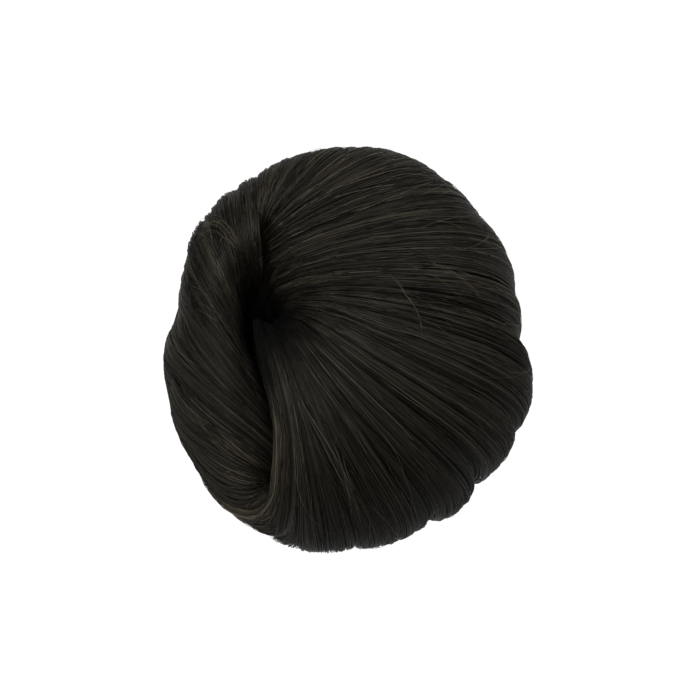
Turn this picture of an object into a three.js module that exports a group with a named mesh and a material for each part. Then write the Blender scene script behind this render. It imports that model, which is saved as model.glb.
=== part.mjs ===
// A bun hairpiece: locks of straight false hair that come up out of an off-centre swirl,
// roll over the rim and are sewn underneath to an elastic band, round an open hollow.
// Millimetres, +Z up. The piece lies on its back, with the swirl facing up.
import * as THREE from "three";

// Driving dimensions
const WALL = 8; // thickness of the hair in a lock
const WALL_SHARE = 0.3; // a short lock's wall is at most this share of its run from root to rim
const RIM_HEIGHT = 26; // the bun is widest at this height
const SEAT_MIDDLE = new THREE.Vector2(-5.4, 1); // the band lies under the middle of the bun's box
const SEAT_RADIUS = 40; // the locks end here, at the band they are sewn to
const SEAT_HEIGHT = 1; // underside of a lock at its seat
const SEAT_WALL = 4; // thickness of a lock at its seat
const GAP = 0.2; // each lock stays this far from the line that it shares with the next
const BAND = { inner: 31, outer: 39.6, height: 5.5, corner: 1.4, sides: 40, cornerSteps: 2 };

// Steps of a lock's mesh: along each quarter turn of its path, and across its width
const QUARTER_STEPS = 6;
const ACROSS_MM = 4.5;
const ACROSS_LEAST = 4;
const ACROSS_MOST = 7;

// Rounding across a lock
const CROWN_POWER = 2.6; // higher keeps the back of the lock flatter and its edges rounder
const CREST_CROWN = 0.8; // share of the crown that lifts the crest

// A seam is the line of hair along the edge of a lock. It leaves the swirl at its root, passes
// the crest at crestAt of its way out, crosses the rim at the angle deg, rim from the middle,
// and turns under to the seat. bow is how far it swings aside on its way, clockwise positive, and
// a lag over 1 makes it swing most past the middle of its way.
// The fan runs clockwise from the top of the swirl to the free edge that lies over the tucked locks.
const FAN_SEAMS = [
  { deg: 121.2, rim: 63.2, rootX: -31.9, rootY: 27, rootZ: 51, crest: 63, crestAt: 0.16, bow: 0, lag: 1 },
  { deg: 90, rim: 63.8, rootX: -31.4, rootY: 26, rootZ: 50, crest: 64.2, crestAt: 0.3, bow: 2.5, lag: 1 },
  { deg: 65, rim: 58.6, rootX: -31, rootY: 23.5, rootZ: 49, crest: 65.5, crestAt: 0.4, bow: 3, lag: 1 },
  { deg: 48.5, rim: 53.8, rootX: -30.4, rootY: 18.5, rootZ: 46, crest: 66, crestAt: 0.4, bow: 2.5, lag: 1 },
  { deg: 21, rim: 47.5, rootX: -29.4, rootY: 12, rootZ: 40, crest: 66, crestAt: 0.44, bow: 2.5, lag: 1 },
  { deg: 4.5, rim: 44.6, rootX: -28.6, rootY: 9, rootZ: 34, crest: 65.5, crestAt: 0.42, bow: 3.5, lag: 1 },
  { deg: -28, rim: 49.3, rootX: -28.4, rootY: 7.8, rootZ: 26, crest: 65, crestAt: 0.32, bow: 5, lag: 1 },
  { deg: -50.5, rim: 49, rootX: -28.7, rootY: 6.8, rootZ: 23, crest: 64.5, crestAt: 0.3, bow: 5, lag: 1 },
  { deg: -69, rim: 53, rootX: -29.2, rootY: 6.2, rootZ: 22, crest: 64.5, crestAt: 0.3, bow: 4.5, lag: 1 },
  { deg: -94, rim: 59.2, rootX: -30.4, rootY: 6, rootZ: 23, crest: 64, crestAt: 0.36, bow: 2, lag: 1 },
  { deg: -123, rim: 63, rootX: -32.6, rootY: 7, rootZ: 26, crest: 62.5, crestAt: 0.42, bow: -8, lag: 2.3 },
];

// The left side runs clockwise from the fan's free edge to the fan's start. The tucked locks come first,
// lie lower and dive under the free edge. The roll comes over the far rim and turns into the swirl, and its
// last seam stands over the fan's first one.
const LEFT_SEAMS = [
  { deg: -124.5, rim: 63.2, rootX: -27, rootY: -41, rootZ: 25, crest: 36, crestAt: 0.5, bow: 0, lag: 1 },
  { deg: -148, rim: 61.2, rootX: -23, rootY: -39, rootZ: 24, crest: 45, crestAt: 0.5, bow: 0, lag: 1 },
  { deg: -170, rim: 59.9, rootX: -20, rootY: -36, rootZ: 25, crest: 52, crestAt: 0.5, bow: -2, lag: 1 },
  { deg: -190, rim: 57.3, rootX: -23, rootY: -29.5, rootZ: 25, crest: 56.5, crestAt: 0.5, bow: -4, lag: 1 },
  { deg: -208, rim: 61, rootX: -34.5, rootY: -6, rootZ: 24, crest: 60, crestAt: 0.42, bow: -4, lag: 1 },
  { deg: -222, rim: 63.5, rootX: -36.5, rootY: 6.5, rootZ: 22, crest: 62, crestAt: 0.32, bow: -2, lag: 1 },
  { deg: -232, rim: 63.3, rootX: -34.6, rootY: 10.5, rootZ: 24, crest: 63.4, crestAt: 0.27, bow: -1, lag: 1 },
  { deg: -238.8, rim: 63.2, rootX: -31.5, rootY: 13, rootZ: 28, crest: 64.4, crestAt: 0.24, bow: 0, lag: 1 },
];
const TUCKED_LOCKS = 3;

// How far each lock's back stands above its two seams, in order round its group
const GROUPS = [
  { name: "fan_lock", seams: FAN_SEAMS, crowns: [0.4, 1.1, 0.4, 1.3, 1.1, 2.8, 2.3, 3.4, 1.3, 1.3] },
  { name: "tucked_lock", seams: LEFT_SEAMS.slice(0, TUCKED_LOCKS + 1), crowns: [0.4, 0.7, 2.1] },
  { name: "roll_lock", seams: LEFT_SEAMS.slice(TUCKED_LOCKS), crowns: [0.4, 1, 0.4, 0.8] },
];

const HAIR = new THREE.MeshStandardMaterial({ color: 0x231f1a, roughness: 0.5, metalness: 0 });
const ELASTIC = new THREE.MeshStandardMaterial({ color: 0x17150f, roughness: 0.9, metalness: 0 });

function polar(degrees, radius) {
  const angle = THREE.MathUtils.degToRad(degrees);
  return new THREE.Vector2(Math.cos(angle) * radius, Math.sin(angle) * radius);
}

// The line of hair at share u of the way from one seam to the next, with its crown
function seamBetween(from, to, u, crown) {
  const line = {};
  for (const column of Object.keys(from)) line[column] = THREE.MathUtils.lerp(from[column], to[column], u);
  const rise = crown * (1 - Math.abs(2 * u - 1) ** CROWN_POWER);
  line.rim += rise;
  line.crest += rise * CREST_CROWN;
  return line;
}

// A point on a line of hair. along runs through three quarter turns: 0 to 1 from the root to the crest,
// 1 to 2 from the crest to the rim, and 2 to 3 under to the seat. inset is 0 on the outer face and 1 on
// the inner one. aside shifts the point across the line, clockwise positive.
function hairPoint(line, along, inset, aside) {
  const root = new THREE.Vector2(line.rootX, line.rootY);
  const run = polar(line.deg, line.rim).sub(root);
  const length = run.length();
  const across = new THREE.Vector2(run.y, -run.x).divideScalar(length);
  const wall = inset * Math.min(WALL, WALL_SHARE * length);
  const first = wall / length;
  const last = 1 - first;
  const crestReach = first + line.crestAt * (last - first);
  const crest = line.crest - wall;
  const seatHeight = SEAT_HEIGHT + inset * SEAT_WALL;

  const quarter = Math.min(Math.floor(along), 2);
  const turn = ((along - quarter) * Math.PI) / 2;
  const reach = [
    first + (crestReach - first) * (1 - Math.cos(turn)),
    crestReach + (last - crestReach) * Math.sin(turn),
    last,
  ][quarter];
  const height = [
    line.rootZ + (crest - line.rootZ) * Math.sin(turn),
    RIM_HEIGHT + (crest - RIM_HEIGHT) * Math.cos(turn),
    seatHeight + (RIM_HEIGHT - seatHeight) * (1 - Math.sin(turn)),
  ][quarter];

  const lagged = reach ** line.lag;
  const swing = aside + line.bow * 4 * lagged * (1 - lagged);
  const plan = root.addScaledVector(run, reach).addScaledVector(across, swing);
  const seatDeg = line.deg - THREE.MathUtils.radToDeg(aside / SEAT_RADIUS);
  const seat = polar(seatDeg, SEAT_RADIUS).add(SEAT_MIDDLE);
  if (quarter === 2) plan.lerp(seat, 1 - Math.cos(turn));
  return new THREE.Vector3(plan.x, plan.y, height);
}

// One closed body through rings of points, each ring going along the outer face and back along the inner.
// Both side walls are split along the same diagonal, so that the walls of two neighbours stay parallel.
function loft(rings) {
  const size = rings[0].length;
  const corners = rings.flat();
  const faces = [];
  const quad = (a, b, c, d) => faces.push(a, b, c, a, c, d);
  for (let ring = 0; ring + 1 < rings.length; ring++) {
    for (let i = 0; i < size; i++) {
      const next = (i + 1) % size;
      const here = ring * size;
      const there = here + size;
      if (next > 0) quad(here + i, here + next, there + next, there + i);
      else quad(here, there, there + i, here + i);
    }
  }
  const lastRing = (rings.length - 1) * size;
  for (let i = 0; i + 1 < size / 2; i++) {
    const facing = size - 1 - i;
    quad(i, facing, facing - 1, i + 1);
    quad(lastRing + i, lastRing + i + 1, lastRing + facing - 1, lastRing + facing);
  }
  const geometry = new THREE.BufferGeometry().setFromPoints(corners).setIndex(faces);
  geometry.computeVertexNormals();
  return geometry;
}

function lockGeometry(from, to, crown) {
  const rimWidth = polar(from.deg, from.rim).distanceTo(polar(to.deg, to.rim));
  const steps = THREE.MathUtils.clamp(Math.round(rimWidth / ACROSS_MM), ACROSS_LEAST, ACROSS_MOST);
  const rings = [];
  for (let station = 0; station <= 3 * QUARTER_STEPS; station++) {
    const along = station / QUARTER_STEPS;
    const outer = [];
    const inner = [];
    for (let step = 0; step <= steps; step++) {
      const u = step / steps;
      const line = seamBetween(from, to, u, crown);
      const aside = GAP * (1 - 2 * u);
      outer.push(hairPoint(line, along, 0, aside));
      inner.unshift(hairPoint(line, along, 1, aside));
    }
    rings.push([...outer, ...inner]);
  }
  return loft(rings);
}

// The flat elastic band under the hair: a ring with rounded corners and a flat underside
function bandGeometry() {
  const { inner, outer, height, corner, sides, cornerSteps } = BAND;
  const outline = new THREE.Path();
  outline.moveTo(inner, 0);
  outline.lineTo(outer, 0);
  outline.lineTo(outer, height - corner);
  outline.absarc(outer - corner, height - corner, corner, 0, Math.PI / 2);
  outline.lineTo(inner + corner, height);
  outline.absarc(inner + corner, height - corner, corner, Math.PI / 2, Math.PI);
  outline.lineTo(inner, 0);
  const band = new THREE.LatheGeometry(outline.getPoints(cornerSteps), sides).rotateX(Math.PI / 2);
  return band.translate(SEAT_MIDDLE.x, SEAT_MIDDLE.y, 0);
}

function addPiece(group, name, geometry, material) {
  const mesh = new THREE.Mesh(geometry, material);
  mesh.name = name;
  group.add(mesh);
}

const bun = new THREE.Group();
addPiece(bun, "base_band", bandGeometry(), ELASTIC);
for (const { name, seams, crowns } of GROUPS) {
  crowns.forEach((crown, i) => {
    const number = String(i + 1).padStart(2, "0");
    addPiece(bun, `${name}_${number}`, lockGeometry(seams[i], seams[i + 1], crown), HAIR);
  });
}

// The origin is on the surface that the bun lies on, under the middle of its box.
const box = new THREE.Box3().setFromObject(bun, true);
const middle = box.getCenter(new THREE.Vector3());
bun.children.forEach((piece) => piece.position.set(-middle.x, -middle.y, -box.min.z));

export default bun;
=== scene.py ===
"""A bun hairpiece: locks of straight dark false hair that swirl out of an off-centre dip and turn under
to an elastic band. Each lock is a rounded core under a layer of single strands."""

import math

import bmesh
import bpy
import numpy as np
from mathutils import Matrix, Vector


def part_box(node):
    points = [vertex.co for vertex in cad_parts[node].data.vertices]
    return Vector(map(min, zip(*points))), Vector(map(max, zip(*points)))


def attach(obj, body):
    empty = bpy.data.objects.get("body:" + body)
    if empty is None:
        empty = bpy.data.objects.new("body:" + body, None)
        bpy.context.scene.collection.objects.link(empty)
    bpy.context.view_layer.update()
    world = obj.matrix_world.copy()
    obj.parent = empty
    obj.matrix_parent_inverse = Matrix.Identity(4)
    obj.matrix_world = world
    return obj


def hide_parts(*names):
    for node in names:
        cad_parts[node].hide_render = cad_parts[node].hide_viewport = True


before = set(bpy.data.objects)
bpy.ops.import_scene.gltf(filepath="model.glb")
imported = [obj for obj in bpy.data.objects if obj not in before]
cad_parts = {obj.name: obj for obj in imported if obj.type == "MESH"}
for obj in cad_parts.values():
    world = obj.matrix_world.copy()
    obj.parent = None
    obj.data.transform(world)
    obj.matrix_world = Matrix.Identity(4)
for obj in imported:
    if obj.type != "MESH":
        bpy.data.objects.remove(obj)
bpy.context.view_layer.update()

# The hair is worked out in millimetres in the lay of its seams, and moved to the frame by the band's place
MM = 0.001
WALL = 8.0
WALL_SHARE = 0.3
RIM_HEIGHT = 26.0
SEAT_MIDDLE = np.array([-5.4, 1.0])
SEAT_RADIUS = 40.0
SEAT_HEIGHT = 1.0
SEAT_WALL = 4.0

# The elastic band, the steps it is spun in, and the angle in radians over which its edges are bevelled
BAND = {"inner": 31.0, "outer": 39.6, "height": 5.5, "corner": 1.4}
BAND_STEPS = 128
SHARP_EDGE = 1.0

# Each row is one seam between two locks, as in the solids
SEAM_COLUMNS = "deg rim root_x root_y root_z crest crest_at bow lag".split()
FAN_SEAMS = (
    (121.2, 63.2, -31.9, 27, 51, 63, 0.16, 0, 1),
    (90, 63.8, -31.4, 26, 50, 64.2, 0.3, 2.5, 1),
    (65, 58.6, -31, 23.5, 49, 65.5, 0.4, 3, 1),
    (48.5, 53.8, -30.4, 18.5, 46, 66, 0.4, 2.5, 1),
    (21, 47.5, -29.4, 12, 40, 66, 0.44, 2.5, 1),
    (4.5, 44.6, -28.6, 9, 34, 65.5, 0.42, 3.5, 1),
    (-28, 49.3, -28.4, 7.8, 26, 65, 0.32, 5, 1),
    (-50.5, 49, -28.7, 6.8, 23, 64.5, 0.3, 5, 1),
    (-69, 53, -29.2, 6.2, 22, 64.5, 0.3, 4.5, 1),
    (-94, 59.2, -30.4, 6, 23, 64, 0.36, 2, 1),
    (-123, 63, -32.6, 7, 26, 62.5, 0.42, -8, 2.3),
)
LEFT_SEAMS = (
    (-124.5, 63.2, -27, -41, 25, 36, 0.5, 0, 1),
    (-148, 61.2, -23, -39, 24, 45, 0.5, 0, 1),
    (-170, 59.9, -20, -36, 25, 52, 0.5, -2, 1),
    (-190, 57.3, -23, -29.5, 25, 56.5, 0.5, -4, 1),
    (-208, 61, -34.5, -6, 24, 60, 0.42, -4, 1),
    (-222, 63.5, -36.5, 6.5, 22, 62, 0.32, -2, 1),
    (-232, 63.3, -34.6, 10.5, 24, 63.4, 0.27, -1, 1),
    (-238.8, 63.2, -31.5, 13, 28, 64.4, 0.24, 0, 1),
)

# crowns: how far the middle of each lock stands out over its seams, in millimetres. On the roll and at both
#   ends of the fan they are up to 0.8 mm more than in the solids.
# slide: how many locks a strand moves along its group from the rim to its root, by where it crosses the
#   rim.
# sides: the shares of the wall that strands go down beside each seam.
# high_fade: where along its way the group's last side closes up against the next group.
# root_shade_skips: how much of the painted root shade a strand goes without, by where it crosses the rim.
# painted_shades: painted shade, how much lighter a strand is, or darker below 0, by where it crosses the
# rim.
FAN = {
    "locks": [f"fan_lock_{n:02d}" for n in range(1, 11)],
    "seams": np.array(FAN_SEAMS, float),
    "crowns": np.array((0.5, 1.1, 0.4, 1.3, 1.1, 2.8, 2.3, 3.4, 1.3, 1.6)),
    "slide": ((0, 10), (0, 0)),
    "sides": (0.1, 0.07, 0.09, 0.1, 0.1, 0.26, 0.1, 0.14, 0.1, 0.07, 0.85),
    "high_fade": (2.2, 3.0),
    "root_shade_skips": ((0, 3, 5, 7, 9, 10), (0.24, 0.22, 0.15, 0.04, 0.0, 0.0)),
    # The fan's lower front, which faces away from the lamps, has painted shade
    "painted_shades": ((0, 6, 7.5, 9, 9.7, 10), (0, 0, -0.14, -0.12, 0, 0)),
}
LEFT = {
    "locks": [f"tucked_lock_{n:02d}" for n in range(1, 4)] + [f"roll_lock_{n:02d}" for n in range(1, 5)],
    "seams": np.array(LEFT_SEAMS, float),
    "crowns": np.array((0.4, 0.7, 2.1, 0.4, 1.5, 1.2, 1.1)),
    "slide": ((0, 3, 4.9, 7), (-2.7, -2.7, 0, 0)),
    "sides": (0.3, 0.07, 0.07, 0.34, 0.07, 0.07, 0.07, 0.9),
    "high_fade": (1.1, 1.8),
    "root_shade_skips": ((0, 4, 5.5, 7), (0.13, 0.13, 0.18, 0.19)),
    "painted_shades": ((0, 7), (0, 0)),
}
GROUPS = {"fan": FAN, "left": LEFT}

# A higher power keeps the back of a lock flatter. CREST_CROWN is the share of the crown that lifts the
# crest, and SIDE_FADE the share of a side's depth that goes where the side closes up.
CROWN_POWER = 2.6
CREST_CROWN = 0.5
SIDE_FADE = 0.95
CONTOUR_POWER = 5.0
CONTOUR_STEPS = 200

# Sliding strands run along the rim as they cross it. A smaller power keeps them by the rim for longer.
# Under it they slide on by FLOW_UNDER of their slide, which comes in between the places FLOW_UNDER_FROM.
# Those that come past SQUEEZE, near the group's first seam, close up towards SQUEEZE_TO.
RIM_ALONG = 2.0
FLOW_POWER = 0.42
FLOW_UNDER = 0.47
FLOW_UNDER_FROM = (0.2, 1.6)
SQUEEZE = 0.5
SQUEEZE_TO = -0.2

# The strands by the fan's free edge hold straight down to the rim and then hook round it to the left. The
# outermost turn by HOOK_TURN degrees and tuck in by HOOK_TUCK millimetres.
HOOK_FROM = 9.45
HOOK_SPREAD = 1.3
HOOK_TURN = 21.0
HOOK_ALONG = (1.87, 2.21)
HOOK_TUCK = 2.9
HOLD_ASIDE = 3.3
HOLD_AT = 1.77
HOLD_WIDTH = 0.18

# Strands, in millimetres. Stations are where along its way a strand has points, closest where it turns
# at the rim.
STRANDS_PER_MM = 16.5
STRAND_RADIUS = 0.115
RADIUS_RANGE = (0.75, 1.3)
LIGHT_THINNER = 0.45
TIP_RADIUS = 0.4
STATIONS = np.array([0, 0.25, 0.5, 0.75, 1, 1.17, 1.33, 1.47, 1.58, 1.67, 1.75, 1.82, 1.88, 1.94, 2,
                     2.06, 2.14, 2.3, 2.6, 3])
STATION_SHIFT = 0.2

# Strands gather in wisps. A wisp pulls its strands together at one place along them, and lifts and leans.
# WISP_ROUND is how much deeper its outermost strands lie, in millimetres.
WISP_MM = 2.6
LEAST_WISPS = 3
LEAST_HALF_WISP = 0.4
WISP_PULL = (0.05, 0.45)
WISP_PULL_AT = (0.5, 2.2)
WISP_PULL_WIDTH = 0.7
WISP_LIFT = 0.2
WISP_LEAN = 1.0
WISP_ROUND = 0.3
WISP_TONE = 0.05

# How single strands stray: from their spot, across the lock, in waves and in depth. Some stray far. By
# the rim they are calm, so that the outline stays clean.
SPOT_SHIFT = (-0.4, 1.4)
STRAY = 0.6
FAR_STRAY_SHARE = 0.1
FAR_STRAY_TIMES = 5
STRAY_LIMITS = (-0.05, 1.05)
WAVE = (0.05, 0.3)
WAVE_BEAT = (0.5, 1.6)
LAYER = 1.0
SWAY = 0.4
SWAY_BEAT = 4.0
CALM = 0.85
CALM_AT = 1.8
CALM_WIDTH = 0.45

# Tones, from dark to light. A strand takes the last row whose first number its draw is over, and its tone
# lies between the other two.
TONE_ROWS = 64
TONES = ((0.0, 0.0, 0.22), (0.45, 0.42, 0.66), (0.93, 0.66, 0.8), (0.99, 0.8, 0.95))
TONE_LIMITS = (0.02, 1.0)

# A strand's map within its tone row: where its first side begins, the height of each of its three
# sides, and the corners of its two ends
ROW_START = 0.1
SIDE_HEIGHT = 0.25
CAP_ALONG = np.array([0.0, 0.012, 0.0])
CAP_ACROSS = np.array([0.1, 0.5, 0.85])

# The ends of strands below their roots. Those within reach of the line through the dip cross it, and
# the higher their roots are, the further they drop there.
TAIL_STEPS = 2
TAIL_LENGTH = 12.0
TAIL_CURVE = 1.3
TAIL_DROP = (2.5, 6.5)
HIGH_ROOT = 30
HIGH_ROOT_DROP = 0.5
DIP_LINE = np.array([[-33.0, 9.0], [-27.0, -20.0]])
DIP_SCATTER = 1.8
DIP_BEYOND = 3.0
DIP_REACH = 17
DIP_EASE = 6

# Lining strands: their group, the places they lie between and how many there are
LININGS = (("fan", 0, 10, 700), ("left", 2.6, 4.6, 900), ("left", 4.6, 7, 240))
LINING_ALONG = np.array([[0.0, 0.3, 0.6]])
LINING_INSET = (0.1, 0.3)
LINING_ASIDE = 0.6
LINING_RADIUS = (1.4, 2.2)
LINING_TONE = (0.0, 0.25)

# Core mesh steps, how deep the core lies under the outermost strands and down its sides at least, how
# much of the width it leaves free beside each seam, and the inset of its inner face
CORE_ALONG = 36
CORE_ACROSS = 12
CORE_DEPTH = 1.3
CORE_SIDE = 2.0
CORE_FREE = 0.005
CORE_INNER = 0.97

rng = np.random.default_rng(20)


def place_of_frame():
    """Where the middle of the seams' lay is in the frame, in metres."""
    low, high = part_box("base_band")
    middle = (np.array(low) + np.array(high)) / 2
    return np.array([middle[0] - SEAT_MIDDLE[0] * MM, middle[1] - SEAT_MIDDLE[1] * MM, low[2]])


FRAME_PLACE = place_of_frame()


def to_frame(points):
    return points * MM + FRAME_PLACE


def ease(low, high, value):
    """A smooth step from 0 at low to 1 at high."""
    share = np.clip((value - low) / (high - low), 0, 1)
    return share * share * (3 - 2 * share)


def lines_at(group, place):
    """The columns of the lines of hair at place, which counts seams from the group's first one."""
    counts = np.arange(len(group["seams"]))
    line = {name: np.interp(place, counts, group["seams"][:, k]) for k, name in enumerate(SEAM_COLUMNS)}
    lock = np.clip(np.floor(place).astype(int), 0, len(counts) - 2)
    share = np.clip(place - lock, 0, 1)
    rise = group["crowns"][lock] * (1 - np.abs(2 * share - 1) ** CROWN_POWER)
    line["rim"] = line["rim"] + rise
    line["crest"] = line["crest"] + rise * CREST_CROWN
    return line


def hair_points(line, along, inset, aside):
    """Points on lines of hair. along runs 0 to 1 from the root to the crest, 1 to 2 to the rim, and 2 to 3
    under to the seat. inset is 0 on the outer face of the lock and 1 on the inner one, and aside is
    millimetres clockwise."""
    angle = np.radians(line["deg"])
    run_x = np.cos(angle) * line["rim"] - line["root_x"]
    run_y = np.sin(angle) * line["rim"] - line["root_y"]
    length = np.hypot(run_x, run_y)
    wall = inset * np.minimum(WALL, WALL_SHARE * length)
    first = wall / length
    last = 1 - first
    crest_reach = first + line["crest_at"] * (last - first)
    crest = line["crest"] - wall
    seat_height = SEAT_HEIGHT + inset * SEAT_WALL

    quarter = np.clip(np.floor(along), 0, 2)
    turn = (along - quarter) * math.pi / 2
    parts = [quarter == 0, quarter == 1]
    reach = np.select(
        parts,
        [first + (crest_reach - first) * (1 - np.cos(turn)),
         crest_reach + (last - crest_reach) * np.sin(turn)],
        last,
    )
    height = np.select(
        parts,
        [line["root_z"] + (crest - line["root_z"]) * np.sin(turn),
         RIM_HEIGHT + (crest - RIM_HEIGHT) * np.cos(turn)],
        seat_height + (RIM_HEIGHT - seat_height) * (1 - np.sin(turn)),
    )
    lagged = np.clip(reach, 0, 1) ** line["lag"]
    swing = aside + line["bow"] * 4 * lagged * (1 - lagged)
    x = line["root_x"] + run_x * reach + run_y / length * swing
    y = line["root_y"] + run_y * reach - run_x / length * swing
    seat_angle = angle - aside / SEAT_RADIUS
    under = np.where(quarter == 2, 1 - np.cos(turn), 0)
    x = x + (SEAT_MIDDLE[0] + SEAT_RADIUS * np.cos(seat_angle) - x) * under
    y = y + (SEAT_MIDDLE[1] + SEAT_RADIUS * np.sin(seat_angle) - y) * under
    return np.stack(np.broadcast_arrays(x, y, height), axis=-1)


def rim_width(group, lock):
    """How wide a lock is at the rim, in millimetres."""
    edges = hair_points(lines_at(group, np.array([lock, lock + 1.0])), np.array(RIM_ALONG), 0.0, 0.0)
    return float(np.linalg.norm(edges[1] - edges[0]))


def contour(width, low_depth, high_depth):
    """The outer contour across a lock, from down its first side over its back to down the other, as the
    share of its width, the depth in millimetres and the distance along it."""
    turn = np.linspace(math.pi, 0, CONTOUR_STEPS)
    sideways = np.sign(np.cos(turn)) * np.abs(np.cos(turn)) ** (2 / CONTOUR_POWER)
    drop = 1 - np.abs(np.sin(turn)) ** (2 / CONTOUR_POWER)
    depth = drop * np.where(sideways < 0, low_depth, high_depth)
    share = 0.5 + 0.5 * sideways
    steps_mm = np.hypot(np.diff(share) * width, np.diff(depth))
    return share, depth, np.concatenate([[0], np.cumsum(steps_mm)])


def side_depths(group, lock):
    """How far strands go down a lock's two sides, in millimetres."""
    return group["sides"][lock] * WALL, group["sides"][lock + 1] * WALL


def tube_mesh(name, points, radius, tone, start=0.0):
    """One mesh of closed three-sided tubes along rows of points. Its map runs along each strand, from
    start, and across the rows by the strand's tone."""
    count, stations, _ = points.shape
    tangent = np.gradient(points, axis=1)
    tangent /= np.linalg.norm(tangent, axis=2, keepdims=True)
    outward = points - np.array([0, 0, RIM_HEIGHT])
    side = np.cross(tangent, outward)
    side /= np.maximum(np.linalg.norm(side, axis=2, keepdims=True), 1e-9)
    normal = np.cross(side, tangent)
    turns = np.arange(3) * 2 * math.pi / 3
    ring = normal[:, :, None] * np.cos(turns)[:, None] + side[:, :, None] * np.sin(turns)[:, None]
    corners = to_frame(points[:, :, None] + ring * radius[:, :, None, None])

    first = (np.arange(count)[:, None, None] * stations + np.arange(stations - 1)[None, :, None]) * 3
    here, there = np.arange(3), (np.arange(3) + 1) % 3
    quads = np.stack([first + here, first + there, first + 3 + there, first + 3 + here], axis=-1)
    quads = quads.reshape(-1, 4)
    end = np.arange(count)[:, None] * stations * 3
    caps = np.concatenate([end + np.array([2, 1, 0]), end + (stations - 1) * 3 + np.array([0, 1, 2])])

    mesh = bpy.data.meshes.new(name)
    mesh.vertices.add(corners.size // 3)
    mesh.vertices.foreach_set("co", corners.astype(np.float32).ravel())
    mesh.loops.add(quads.size + caps.size)
    mesh.loops.foreach_set("vertex_index", np.concatenate([quads.ravel(), caps.ravel()]).astype(np.int32))
    starts = np.concatenate([np.arange(len(quads)) * 4, quads.size + np.arange(len(caps)) * 3])
    mesh.polygons.add(len(starts))
    mesh.polygons.foreach_set("loop_start", starts.astype(np.int32))
    mesh.polygons.foreach_set("use_smooth", np.ones(len(starts), bool))

    row = np.floor(np.clip(tone, 0, 0.999) * TONE_ROWS)
    start_u = np.broadcast_to(start, count)[:, None]
    share = start_u + (1 - start_u) * np.arange(stations) / (stations - 1)
    shape = (count, stations - 1, 3)
    low_u = np.broadcast_to(share[:, :-1, None], shape)
    high_u = np.broadcast_to(share[:, 1:, None], shape)
    low_v = np.broadcast_to((row[:, None, None] + ROW_START + here * SIDE_HEIGHT) / TONE_ROWS, shape)
    high_v = low_v + SIDE_HEIGHT / TONE_ROWS
    quad_map = np.stack([low_u, low_v, low_u, high_v, high_u, high_v, high_u, low_v], axis=-1)
    cap_v = np.broadcast_to((row[:, None] + CAP_ACROSS) / TONE_ROWS, (count, 3))
    cap_maps = [np.stack([np.broadcast_to(u, (count, 3)), cap_v], axis=-1)
                for u in (start_u + CAP_ALONG, 1 - CAP_ALONG)]
    layer = mesh.uv_layers.new(name="OFBake")
    values = np.concatenate([part.ravel() for part in (quad_map, *cap_maps)]).astype(np.float32)
    layer.uv.foreach_set("vector", values)
    mesh.update(calc_edges=True)
    mesh.validate()
    return mesh


def add_piece(name, mesh, material, replaced=None):
    piece = bpy.data.objects.new(name, mesh)
    bpy.context.scene.collection.objects.link(piece)
    mesh.materials.append(material)
    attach(piece, "root")
    if replaced:
        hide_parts(replaced)


def strand_stations(count):
    """Where along their paths strands have points, shifted a little from strand to strand."""
    room = np.diff(STATIONS)
    shift = rng.uniform(-STATION_SHIFT, STATION_SHIFT, (count, 1))
    inner = STATIONS[1:-1] + np.where(shift > 0, shift * room[1:], shift * room[:-1])
    return np.concatenate([np.zeros((count, 1)), inner, np.full((count, 1), STATIONS[-1])], axis=1)


def flowing_place(group, start, along):
    """The place of a strand along its way. Tucked strands slide along their group towards the free edge."""
    share = (np.abs(RIM_ALONG - along) / RIM_ALONG) ** FLOW_POWER
    under = -FLOW_UNDER * ease(*FLOW_UNDER_FROM, start)
    slide = np.interp(start, *group["slide"]) * np.where(along < RIM_ALONG, share, under * share)
    place = start + slide
    room = SQUEEZE - SQUEEZE_TO
    squeezed = SQUEEZE_TO + room * np.exp(np.minimum(place - SQUEEZE, 0) / room)
    return np.where((slide < 0) & (place < SQUEEZE), squeezed, place)


def hooked(group, place, along):
    """The lines of hair at place, with the turn of those by the free edge, and how far they hold aside."""
    line = lines_at(group, place)
    if group is not FAN:
        return line, 0.0
    last = len(group["locks"])
    share = np.clip((place - HOOK_FROM) / (last - HOOK_FROM), 0, 1) ** HOOK_SPREAD
    turn = share * ease(*HOOK_ALONG, along)
    line["deg"] = line["deg"] - HOOK_TURN * turn
    line["rim"] = line["rim"] - HOOK_TUCK * turn ** 2
    return line, -HOLD_ASIDE * share * np.exp(-((along - HOLD_AT) / HOLD_WIDTH) ** 2)


def strand_tones(count, wisp_tone):
    """Dark and middling strands in about equal numbers, with a few light ones among them."""
    pick = rng.random(count)
    tone = np.zeros(count)
    for over, low, high in TONES:
        tone = np.where(pick > over, rng.uniform(low, high, count), tone)
    return np.clip(tone + wisp_tone, *TONE_LIMITS)


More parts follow.
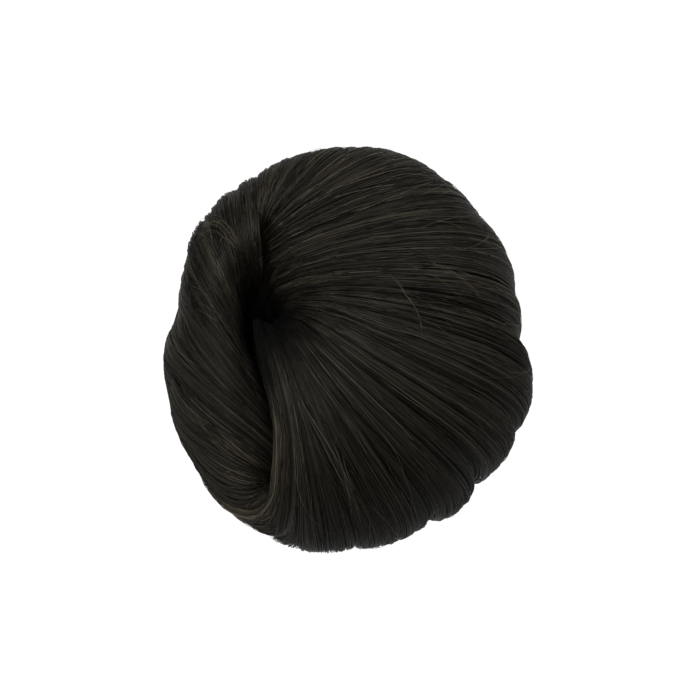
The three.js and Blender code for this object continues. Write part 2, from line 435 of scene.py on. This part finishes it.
def lock_strands(group, lock):
    """The points, radius and tone of the strands of one lock, and where their maps start."""
    width = rim_width(group, lock)
    shares, depths, distances = contour(width, *side_depths(group, lock))
    reach = distances[-1]
    count = int(reach * STRANDS_PER_MM)
    spot = np.clip((np.arange(count) + rng.uniform(*SPOT_SHIFT, count)) / count * reach, 0, reach)
    share = np.interp(spot, distances, shares)
    depth = np.interp(spot, distances, depths)

    wisps = max(LEAST_WISPS, round(reach / WISP_MM))
    edges = np.sort(np.concatenate([[0], rng.uniform(0, 1, wisps - 1), [1]])) * reach
    wisp = np.clip(np.searchsorted(edges, spot) - 1, 0, wisps - 1)
    middle = (edges[wisp] + edges[wisp + 1]) / 2
    half = np.maximum((edges[wisp + 1] - edges[wisp]) / 2, LEAST_HALF_WISP)
    off = (spot - middle) / half
    pull = rng.uniform(*WISP_PULL, wisps)[wisp]
    pull_at = rng.uniform(*WISP_PULL_AT, wisps)[wisp]
    lift = rng.normal(0, WISP_LIFT, wisps)[wisp]
    lean = rng.normal(0, WISP_LEAN, wisps)[wisp]
    middle_share = np.interp(middle, distances, shares)

    along = strand_stations(count)
    gather = pull[:, None] * np.exp(-((along - pull_at[:, None]) / WISP_PULL_WIDTH) ** 2)
    place_in_lock = share[:, None] + (middle_share - share)[:, None] * gather
    stray = rng.normal(0, STRAY, count)
    stray = lean + stray * np.where(rng.random(count) < FAR_STRAY_SHARE, FAR_STRAY_TIMES, 1)
    place_in_lock = place_in_lock + stray[:, None] / width * (along / STATIONS[-1] - 0.5)
    place_in_lock = np.clip(place_in_lock, *STRAY_LIMITS)
    wave = rng.uniform(*WAVE, count)[:, None]
    phase = rng.uniform(0, 2 * math.pi, count)[:, None]
    beat = rng.uniform(*WAVE_BEAT, count)[:, None]
    aside = wave * np.sin(beat * along * math.pi + phase)

    place = flowing_place(group, lock + place_in_lock, along)
    last = len(group["locks"])
    depth = depth[:, None]
    if lock == last - 1:
        depth = depth * (1 - SIDE_FADE * ease(*group["high_fade"], along) * (share > 0.5)[:, None])
    layer = rng.uniform(0, LAYER, count) + WISP_ROUND * off ** 2
    sway = rng.uniform(0, SWAY, count)[:, None] * np.sin(along * SWAY_BEAT + phase)
    calm = 1 - CALM * np.exp(-((along - CALM_AT) / CALM_WIDTH) ** 2)
    deep = depth + layer[:, None] + (sway - lift[:, None]) * calm
    over = np.where(place < 0, place, np.where(place > last, place - last, 0)) * width
    line, hold = hooked(group, place, along)
    points = hair_points(line, along, deep / WALL, aside + over + hold)
    points = np.concatenate([root_tails(points[:, 0], line), points], axis=1)

    # Painted shade on the fan's lower front, which turns away from the lamps
    shade = np.interp(lock + share, *group["painted_shades"])
    tone = strand_tones(count, shade + rng.normal(0, WISP_TONE, wisps)[wisp])
    radius = STRAND_RADIUS * rng.uniform(*RADIUS_RANGE, count)[:, None] * np.ones(points.shape[1])
    radius *= 1 - LIGHT_THINNER * tone[:, None]
    radius[:, [0, -1]] *= TIP_RADIUS
    # Where the strand's map starts, and so how much of the painted root shade it skips
    start = np.interp(lock + share, *group["root_shade_skips"])
    return points, radius, tone, start


def root_tails(roots, line):
    """The ends of strands below their roots. Round the dip they cross it and close it, and elsewhere they
    run on under the next lock."""
    count = len(roots)
    inward = np.stack([
        line["root_x"][:, 0] - np.cos(np.radians(line["deg"][:, 0])) * line["rim"][:, 0],
        line["root_y"][:, 0] - np.sin(np.radians(line["deg"][:, 0])) * line["rim"][:, 0],
    ], axis=1)
    inward /= np.linalg.norm(inward, axis=1, keepdims=True)
    span = DIP_LINE[1] - DIP_LINE[0]
    share = np.clip((roots[:, :2] - DIP_LINE[0]) @ span / (span @ span), 0, 1)
    across = DIP_LINE[0] + share[:, None] * span + rng.normal(0, DIP_SCATTER, (count, 2)) - roots[:, :2]
    distance = np.linalg.norm(across, axis=1, keepdims=True)
    near = np.clip((DIP_REACH - distance) / DIP_EASE, 0, 1)
    shift = near * across * (1 + DIP_BEYOND / np.maximum(distance, 1)) + (1 - near) * inward * TAIL_LENGTH
    over = np.maximum(roots[:, 2] - HIGH_ROOT, 0)
    drop = rng.uniform(*TAIL_DROP, count) + over * HIGH_ROOT_DROP * near[:, 0]
    tails = []
    for step in range(TAIL_STEPS, 0, -1):
        share = step / TAIL_STEPS
        point = roots.copy()
        point[:, :2] += shift * share ** TAIL_CURVE
        point[:, 2] -= drop * share
        tails.append(point)
    return np.stack(tails, axis=1)


def lining_strands():
    """Short dark strands that line the dip and the gap beside the free edge."""
    rows = []
    for name, first, last, count in LININGS:
        place = rng.uniform(first, last, count)[:, None] * np.ones(LINING_ALONG.shape[1])
        line = lines_at(GROUPS[name], place)
        inset = rng.uniform(*LINING_INSET, (count, 1))
        points = hair_points(line, LINING_ALONG, inset, rng.normal(0, LINING_ASIDE, (count, 1)))
        rows.append(np.concatenate([root_tails(points[:, 0], line), points], axis=1))
    points = np.concatenate(rows)
    radius = STRAND_RADIUS * rng.uniform(*LINING_RADIUS, len(points))[:, None] * np.ones(points.shape[1])
    return points, radius, rng.uniform(*LINING_TONE, len(points))


def core_mesh(name, group, lock):
    """The body of a lock under its strands: a grid bent into a closed bar along its lines of hair."""
    width = rim_width(group, lock)
    low, high = side_depths(group, lock)
    shares, depths, distances = contour(width, max(low, CORE_SIDE), max(high, CORE_SIDE))
    outer_at = np.linspace(0, distances[-1], CORE_ACROSS + 1)
    outer_share = CORE_FREE + (1 - 2 * CORE_FREE) * np.interp(outer_at, distances, shares)
    outer_inset = (np.interp(outer_at, distances, depths) + CORE_DEPTH) / WALL
    share = np.concatenate([outer_share, outer_share[::-1], outer_share[:1]])
    inset = np.concatenate([outer_inset, np.full(CORE_ACROSS + 1, CORE_INNER), outer_inset[:1]])
    around = len(share) - 1

    shape = bmesh.new()
    shape.loops.layers.uv.new("OFBake")
    bmesh.ops.create_grid(shape, x_segments=around, y_segments=CORE_ALONG, size=0.5, calc_uvs=True)
    column = np.array([round((v.co.x + 0.5) * around) for v in shape.verts])
    along = np.array([(v.co.y + 0.5) * STATIONS[-1] for v in shape.verts])
    points = to_frame(hair_points(lines_at(group, lock + share[column]), along, inset[column], 0.0))
    for vertex, point in zip(shape.verts, points):
        vertex.co = point
    bmesh.ops.remove_doubles(shape, verts=shape.verts, dist=1e-7)
    bmesh.ops.holes_fill(shape, edges=shape.edges)
    bmesh.ops.recalc_face_normals(shape, faces=shape.faces)
    for face in shape.faces:
        face.smooth = True
    mesh = bpy.data.meshes.new(name)
    shape.to_mesh(mesh)
    shape.free()
    return mesh


class Term:
    """A socket's value in a material, with sums that add Math nodes."""

    def __init__(self, finish, socket):
        self.finish = finish
        self.socket = socket

    def __add__(self, other):
        return self.finish.math("ADD", self, other)

    def __sub__(self, other):
        return self.finish.math("SUBTRACT", self, other)

    def __rsub__(self, other):
        return self.finish.math("SUBTRACT", other, self)

    def __mul__(self, other):
        return self.finish.math("MULTIPLY", self, other)

    __radd__ = __add__
    __rmul__ = __mul__


class Finish:
    """A material and its nodes."""

    def __init__(self, name, **constants):
        self.material = bpy.data.materials.new(name)
        self.material.use_nodes = True
        self.tree = self.material.node_tree
        self.tree.nodes.clear()
        self.shader = self.node("ShaderNodeBsdfPrincipled", {}, {})
        self.node("ShaderNodeOutputMaterial", {}, {"Surface": self.shader.outputs[0]})
        for socket, value in constants.items():
            self.shader.inputs[socket.replace("_", " ")].default_value = value

    def node(self, kind, settings, sockets):
        """Adds a node, with its settings first and then the values or links of its sockets."""
        node = self.tree.nodes.new(kind)
        for name, value in settings.items():
            if name == "stops":
                self.set_stops(node.color_ramp, value)
            else:
                setattr(node, name, value)
        for name, value in sockets.items():
            source = value.socket if isinstance(value, Term) else value
            if isinstance(source, bpy.types.NodeSocket):
                self.tree.links.new(source, node.inputs[name])
            else:
                node.inputs[name].default_value = source
        return node

    def set_stops(self, ramp, stops):
        while len(ramp.elements) < len(stops):
            ramp.elements.new(1.0)
        for element, (place, colour) in zip(ramp.elements, stops):
            element.position = place
            element.color = (*colour, 1.0)

    def term(self, kind, settings, sockets, output=0):
        return Term(self, self.node(kind, settings, sockets).outputs[output])

    def math(self, operation, *values):
        return self.term("ShaderNodeMath", {"operation": operation}, dict(enumerate(values)))

    def mix(self, factor, first, second):
        """A colour between two colours. The numbers are the Mix node's colour sockets."""
        return self.term("ShaderNodeMix", {"data_type": "RGBA"}, {0: factor, 6: first, 7: second}, 2)

    def feed(self, socket, term):
        self.tree.links.new(term.socket, self.shader.inputs[socket])

    def own_map(self):
        """The two parts of the piece's own map."""
        flat = self.node("ShaderNodeUVMap", {"uv_map": "OFBake"}, {})
        parts = self.node("ShaderNodeSeparateXYZ", {}, {"Vector": flat.outputs[0]})
        return Term(self, parts.outputs[0]), Term(self, parts.outputs[1])

    def flat_noise(self, x, y, detail):
        spot = self.node("ShaderNodeCombineXYZ", {}, {"X": x, "Y": y})
        return self.term("ShaderNodeTexNoise", {"noise_dimensions": "2D"},
                         {"Vector": spot.outputs[0], "Scale": 1.0, "Detail": detail})


# Hair colours in linear light, from the deepest strand to the few light ones: olive brown and a redder
# brown
HAIR_STOPS = (
    (0.0, (0.0042, 0.0040, 0.0030)),
    (0.35, (0.0110, 0.0102, 0.0073)),
    (0.7, (0.0340, 0.0310, 0.0218)),
    (1.0, (0.1000, 0.0890, 0.0640)),
)
RED_STOPS = (
    (0.0, (0.0046, 0.0039, 0.0031)),
    (0.35, (0.0125, 0.0105, 0.0077)),
    (0.7, (0.0380, 0.0312, 0.0225)),
    (1.0, (0.1080, 0.0870, 0.0640)),
)

# Strands have painted shade and are dull at their roots, and come out of it between these shares of their
# way
PAINTED_ROOT_SHADE = (0.22, 0.35)
ROOT_DULL = 0.3
# The near-black colour of the painted shade where strands go down into the dip and beside the free edge
ROOT_SHADE_COLOUR = (0.0009, 0.0009, 0.0007, 1.0)

# The grain of a strand and its redder tint: how often they change along the strand and from tone to tone,
# and how much the grain changes the tone and the roughness
GRAIN_ALONG = 14.0
GRAIN_ACROSS = 90.0
GRAIN = 0.5
GRAIN_ROUGHNESS = 0.16
STRAND_ROUGHNESS = 0.38
TINT_ALONG = 0.7
TINT_ACROSS = 40.0

# The core's streaks: about how many there are round it, how often they break along it, and how much they
# change its shade and roughness
STREAKS = 120.0
STREAK_BREAKS = 3.0
STREAK_SHADE = 0.5
STREAK_ROUGHNESS = 0.15
CORE_ROUGHNESS = 0.5

# The elastic's weave: how many ribs go round the band, and the rows across it in radians per metre
RIBS = 180.0
ROW_RADIANS = 5200.0
RIB_SHARE = 0.6
ELASTIC_STOPS = ((0.0, (0.004, 0.004, 0.0035)), (1.0, (0.016, 0.0145, 0.013)))


def strand_finish():
    finish = Finish("hair_strands", Specular_IOR_Level=0.09)
    along, tone = finish.own_map()
    noise = finish.flat_noise(along * GRAIN_ALONG, tone * GRAIN_ACROSS, detail=2.0)
    level = tone + (noise - 0.5) * GRAIN
    brown = finish.term("ShaderNodeValToRGB", {"stops": HAIR_STOPS}, {"Fac": level})
    red = finish.term("ShaderNodeValToRGB", {"stops": RED_STOPS}, {"Fac": level})
    tint = finish.flat_noise(along * TINT_ALONG, tone * TINT_ACROSS, detail=0.0)
    # light is 0 in the painted root shade and 1 where the strand's own colour shows
    light = finish.term("ShaderNodeMapRange", {"interpolation_type": "SMOOTHSTEP"},
                        {"Value": along, "From Min": PAINTED_ROOT_SHADE[0], "From Max": PAINTED_ROOT_SHADE[1]})
    finish.feed("Base Color", finish.mix(light, ROOT_SHADE_COLOUR, finish.mix(tint, brown, red)))
    finish.feed("Roughness", STRAND_ROUGHNESS + noise * GRAIN_ROUGHNESS + (1.0 - light) * ROOT_DULL)
    return finish.material


def core_finish():
    finish = Finish("hair_core", Specular_IOR_Level=0.15)
    across, along = finish.own_map()
    streaks = finish.flat_noise(across * STREAKS, along * STREAK_BREAKS, detail=3.0)
    shade = finish.term("ShaderNodeValToRGB", {"stops": HAIR_STOPS[:3]}, {"Fac": streaks * STREAK_SHADE})
    bump = finish.term("ShaderNodeBump", {}, {"Height": streaks, "Strength": 0.8, "Distance": 0.0004})
    finish.feed("Base Color", shade)
    finish.feed("Normal", bump)
    finish.feed("Roughness", CORE_ROUGHNESS + streaks * STREAK_ROUGHNESS)
    return finish.material


def elastic_finish():
    finish = Finish("elastic_band", Roughness=0.85, Specular_IOR_Level=0.2)
    place = finish.node("ShaderNodeTexCoord", {}, {})
    parts = finish.node("ShaderNodeSeparateXYZ", {}, {"Vector": place.outputs["Object"]})
    x, y = Term(finish, parts.outputs[0]), Term(finish, parts.outputs[1])
    ribs = finish.math("SINE", finish.math("ARCTAN2", y, x) * RIBS) * 0.5 + 0.5
    rows = finish.math("SINE", finish.math("SQRT", x * x + y * y) * ROW_RADIANS) * 0.5 + 0.5
    weave = ribs * RIB_SHARE + rows * (1 - RIB_SHARE)
    shade = finish.term("ShaderNodeValToRGB", {"stops": ELASTIC_STOPS}, {"Fac": weave})
    bump = finish.term("ShaderNodeBump", {}, {"Height": weave, "Strength": 0.6, "Distance": 0.0003})
    finish.feed("Base Color", shade)
    finish.feed("Normal", bump)
    return finish.material


def band_mesh():
    """The elastic band: a section spun round, with bevelled edges."""
    low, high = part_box("base_band")
    middle = (Vector(low) + Vector(high)) / 2
    inner, outer, height = (BAND[size] * MM for size in ("inner", "outer", "height"))
    shape = bmesh.new()
    corners = ((inner, 0), (outer, 0), (outer, height), (inner, height))
    verts = [shape.verts.new((middle.x + r, middle.y, low[2] + z)) for r, z in corners]
    edges = [shape.edges.new((verts[k], verts[(k + 1) % 4])) for k in range(4)]
    bmesh.ops.spin(shape, geom=verts + edges, cent=(middle.x, middle.y, 0), axis=(0, 0, 1),
                   angle=2 * math.pi, steps=BAND_STEPS, use_merge=True)
    bmesh.ops.recalc_face_normals(shape, faces=shape.faces)
    hoops = [edge for edge in shape.edges if edge.calc_face_angle() > SHARP_EDGE]
    bmesh.ops.bevel(shape, geom=hoops, offset=BAND["corner"] * MM, offset_type="OFFSET", affect="EDGES",
                    segments=3, profile=0.5, material=-1)
    for face in shape.faces:
        face.smooth = True
    mesh = bpy.data.meshes.new("band_elastic")
    shape.to_mesh(mesh)
    shape.free()
    return mesh


# The bundle along the free edge. A share of its strands turns before the others and lies over them, and
# the rest fan out under it. EDGE_SPREAD is for the strands over and then under, the depths are in
# millimetres, and EDGE_TONE is the mean tone and its spread.
EDGE_COUNT = 260
EDGE_OVER = 0.45
EDGE_EARLY = 0.06
EDGE_LATE = (-0.05, 0.05)
EDGE_SPREAD = (0.03, 0.07)
EDGE_ASIDE = 0.4
EDGE_WAVE = 0.3
EDGE_BEAT = 2
EDGE_PHASE = (0, 6)
EDGE_OVER_DEPTH = (-0.7, 0.4)
EDGE_UNDER_DEPTH = (-0.2, 2.0)
EDGE_LIFT = 0.7
EDGE_LIFT_ALONG = (1.75, 1.95)
EDGE_RADIUS = (0.6, 1.0)
EDGE_TONE = (0.64, 0.2)
EDGE_TONE_LIMITS = (0.1, 1)


def edge_strands(count):
    """The light bundle along the fan's free edge, which hooks round the rim."""
    along = strand_stations(count)
    over = (np.arange(count) < EDGE_OVER * count)[:, None]
    spread = np.where(over, *EDGE_SPREAD) * np.abs(rng.normal(0, 1, count))[:, None]
    early = np.where(over, EDGE_EARLY, rng.uniform(*EDGE_LATE, count)[:, None])
    line, hold = hooked(FAN, len(FAN["locks"]) - spread * np.ones_like(along), along + early)
    aside = rng.normal(0, EDGE_ASIDE, count)[:, None]
    aside = aside + EDGE_WAVE * np.sin(along * EDGE_BEAT + rng.uniform(*EDGE_PHASE, count)[:, None])
    over_depth = rng.uniform(*EDGE_OVER_DEPTH, count)[:, None]
    deep = np.where(over, over_depth, rng.uniform(*EDGE_UNDER_DEPTH, count)[:, None])
    deep = deep - np.where(over, EDGE_LIFT, 0) * ease(*EDGE_LIFT_ALONG, along)
    points = hair_points(line, along, deep / WALL, aside + hold)
    radius = STRAND_RADIUS * rng.uniform(*EDGE_RADIUS, count)[:, None] * np.ones_like(along)
    return points, radius, np.clip(rng.normal(*EDGE_TONE, count), *EDGE_TONE_LIMITS)


# Flyaway and loose strands come up from this deep in the hair, in millimetres, and end as deep
END_DEPTH = 1.0
LIFT_CURVE = 0.6
LOOSE_STATIONS = 15

# Flyaway strands lie closer by the rim, so that the outline stays clean. FLYAWAY_LIFT is the shape and
# the scale of a gamma draw, in millimetres.
FLYAWAYS = (("fan", 170), ("left", 24))
FLYAWAY_START_ROOM = 0.2
FLYAWAY_FROM = (0.75, 1.6)
FLYAWAY_REACH = (0.4, 1.1)
FLYAWAY_END = 2.7
FLYAWAY_SLIDE = 0.25
FLYAWAY_BEND = 0.16
FLYAWAY_LIFT = (1.5, 0.4)
FLYAWAY_CALM = 0.85
FLYAWAY_CALM_ALONG = (1.2, 1.6)
FLYAWAY_ROOM = 0.02
FLYAWAY_RADIUS = (0.05, 0.08)
FLYAWAY_TONE = (0.45, 0.95)


def flyaway_strands():
    """Loose thin strands that lift off the bun and cross the others."""
    share = np.linspace(0, 1, LOOSE_STATIONS)[None, :]
    arch = np.sin(share * math.pi)
    rows, radii, tones = [], [], []
    for name, count in FLYAWAYS:
        group = GROUPS[name]
        locks = len(group["locks"])
        start = rng.uniform(FLYAWAY_START_ROOM, locks - FLYAWAY_START_ROOM, count)[:, None]
        begin = rng.uniform(*FLYAWAY_FROM, count)[:, None]
        reach = rng.uniform(*FLYAWAY_REACH, count)[:, None]
        along = np.minimum(begin + reach * share, FLYAWAY_END)
        slide = rng.normal(0, FLYAWAY_SLIDE, count)[:, None]
        bend = rng.normal(0, FLYAWAY_BEND, count)[:, None]
        place = start + slide * (share - 0.5) + bend * arch
        place = np.clip(flowing_place(group, place, along), FLYAWAY_ROOM, locks - FLYAWAY_ROOM)
        calm = 1 - FLYAWAY_CALM * ease(*FLYAWAY_CALM_ALONG, along)
        lift = rng.gamma(*FLYAWAY_LIFT, count)[:, None] * calm
        inset = (END_DEPTH - (END_DEPTH + lift) * arch ** LIFT_CURVE) / WALL
        rows.append(hair_points(lines_at(group, place), along, inset, 0.0))
        radii.append(rng.uniform(*FLYAWAY_RADIUS, count)[:, None] * np.ones(LOOSE_STATIONS))
        tones.append(rng.uniform(*FLYAWAY_TONE, count))
    return np.concatenate(rows), np.concatenate(radii), np.concatenate(tones)


# Loose strands that stand out by themselves: from one place and along to another, with a bend of each
# between, a lift off the bun in millimetres, and how many run side by side
LOOSE_COLUMNS = "place_from place_to along_from along_to place_bend along_bend lift count".split()
LOOSE_STRANDS = (
    ("fan", (3.7, 4.8, 1.1, 1.48, 0, 0, 0.8, 3)),
    ("fan", (4.0, 5.7, 1.02, 1.27, 0.1, 0, 0.8, 2)),
    ("fan", (3.2, 3.75, 1.72, 1.42, 0.1, 0, 1.2, 2)),
    ("fan", (5.35, 5.8, 1.9, 1.62, 0.1, 0, 1.2, 2)),
    ("left", (4.3, 5.7, 1.42, 0.9, 0, 0.12, 0.5, 9)),
    ("left", (4.8, 5.8, 1.02, 0.85, 0, 0.17, 0.5, 6)),
    ("left", (1.5, 0.7, 1.3, 0.75, -0.1, 0.05, 0.5, 10)),
    ("left", (3.5, 3.9, 1.4, 0.9, 0, 0, 0.5, 8)),
)
LOOSE_SPREAD = 0.1
LOOSE_PARTING = 0.06
LOOSE_SHIFT = 0.06
LOOSE_LIFT = (0.4, 1.2)
LOOSE_RADIUS = (0.05, 0.09)
LOOSE_TONE = (0.5, 0.9)


def loose_strands():
    """The loose strands of the table, each row a few strands side by side."""
    share = np.linspace(0, 1, LOOSE_STATIONS)[None, :]
    arch = np.sin(share * math.pi)
    rows = []
    for name, values in LOOSE_STRANDS:
        row = dict(zip(LOOSE_COLUMNS, values))
        count = row["count"]
        spread = rng.normal(0, LOOSE_SPREAD, count)[:, None]
        spread = spread + rng.normal(0, LOOSE_PARTING, count)[:, None] * share
        place = row["place_from"] + (row["place_to"] - row["place_from"]) * share
        place = place + row["place_bend"] * arch + spread
        along = row["along_from"] + (row["along_to"] - row["along_from"]) * share + row["along_bend"] * arch
        along = along + rng.normal(0, LOOSE_SHIFT, count)[:, None]
        lift = row["lift"] * rng.uniform(*LOOSE_LIFT, count)[:, None]
        inset = (END_DEPTH - (END_DEPTH + lift) * arch ** LIFT_CURVE) / WALL
        rows.append(hair_points(lines_at(GROUPS[name], place), along, inset, 0.0))
    points = np.concatenate(rows)
    radius = rng.uniform(*LOOSE_RADIUS, len(points))[:, None] * np.ones(LOOSE_STATIONS)
    return points, radius, rng.uniform(*LOOSE_TONE, len(points))


def add_hair():
    strands = strand_finish()
    core = core_finish()
    for group in GROUPS.values():
        for lock, node in enumerate(group["locks"]):
            add_piece(f"{node}_core", core_mesh(f"{node}_core", group, lock), core, node)
            mesh = tube_mesh(f"{node}_strands", *lock_strands(group, lock))
            add_piece(f"{node}_strands", mesh, strands)
    add_piece("dip_lining", tube_mesh("dip_lining", *lining_strands()), strands)
    add_piece("edge_bundle", tube_mesh("edge_bundle", *edge_strands(EDGE_COUNT)), strands)
    add_piece("flyaway_strands", tube_mesh("flyaway_strands", *flyaway_strands()), strands)
    add_piece("loose_strands", tube_mesh("loose_strands", *loose_strands()), strands)
    add_piece("band_elastic", band_mesh(), elastic_finish(), "base_band")


# Camera, floor and light. The view's target is given in the seams' lay.
VIEW_ELEVATION = 68.0
VIEW_TARGET = Vector(to_frame(np.array([-5.43, 0.43, 29.0])))
VIEW_DISTANCE = 0.7
VIEW_FIELD = 0.208
SENSOR_WIDTH = 36.0
FLOOR_HALF = 3.0

# Lamps: name, place in metres and power in watts
LAMP_SIZE = 0.6
LAMPS = (
    ("top", (-0.05, 0.1, 1.1), 10.4),
    ("far_right", (0.6, 0.5, 0.75), 6.0),
    ("right", (0.85, 0.0, 0.6), 3.2),
    ("near_left", (-0.6, -0.6, 0.7), 3.9),
    ("left", (-0.85, 0.0, 0.6), 4.0),
)


def add_camera():
    lens = bpy.data.cameras.new("view")
    lens.sensor_width = SENSOR_WIDTH
    lens.lens = SENSOR_WIDTH * VIEW_DISTANCE / VIEW_FIELD
    camera = bpy.data.objects.new("view", lens)
    bpy.context.scene.collection.objects.link(camera)
    tilt = math.radians(VIEW_ELEVATION)
    camera.location = VIEW_TARGET + VIEW_DISTANCE * Vector((0, -math.cos(tilt), math.sin(tilt)))
    camera.rotation_euler = (math.pi / 2 - tilt, 0, 0)
    bpy.context.scene.camera = camera


def add_floor():
    """A plain white floor with a light of its own."""
    shape = bmesh.new()
    bmesh.ops.create_grid(shape, x_segments=1, y_segments=1, size=FLOOR_HALF)
    mesh = bpy.data.meshes.new("floor")
    shape.to_mesh(mesh)
    shape.free()
    floor = bpy.data.objects.new("floor", mesh)
    bpy.context.scene.collection.objects.link(floor)
    finish = Finish("pale_floor", Base_Color=(0.02, 0.02, 0.02, 1), Roughness=0.9, Specular_IOR_Level=0.1,
                    Emission_Color=(1, 1, 1, 1), Emission_Strength=1.04)
    mesh.materials.append(finish.material)


def add_light(name, place, power):
    lamp = bpy.data.lights.new(name, "AREA")
    lamp.shape = "DISK"
    lamp.size = LAMP_SIZE
    lamp.energy = power
    light = bpy.data.objects.new(name, lamp)
    light.location = place
    aim = VIEW_TARGET - Vector(place)
    light.rotation_euler = aim.to_track_quat("-Z", "Y").to_euler()
    bpy.context.scene.collection.objects.link(light)


def add_lights():
    """The lamps, with no light from the world around."""
    world = bpy.data.worlds.new("studio")
    world.use_nodes = True
    world.node_tree.nodes["Background"].inputs["Strength"].default_value = 0.0
    bpy.context.scene.world = world
    for lamp in LAMPS:
        add_light(*lamp)


bpy.context.scene.view_settings.view_transform = "Standard"
add_camera()
add_floor()
add_lights()
add_hair()
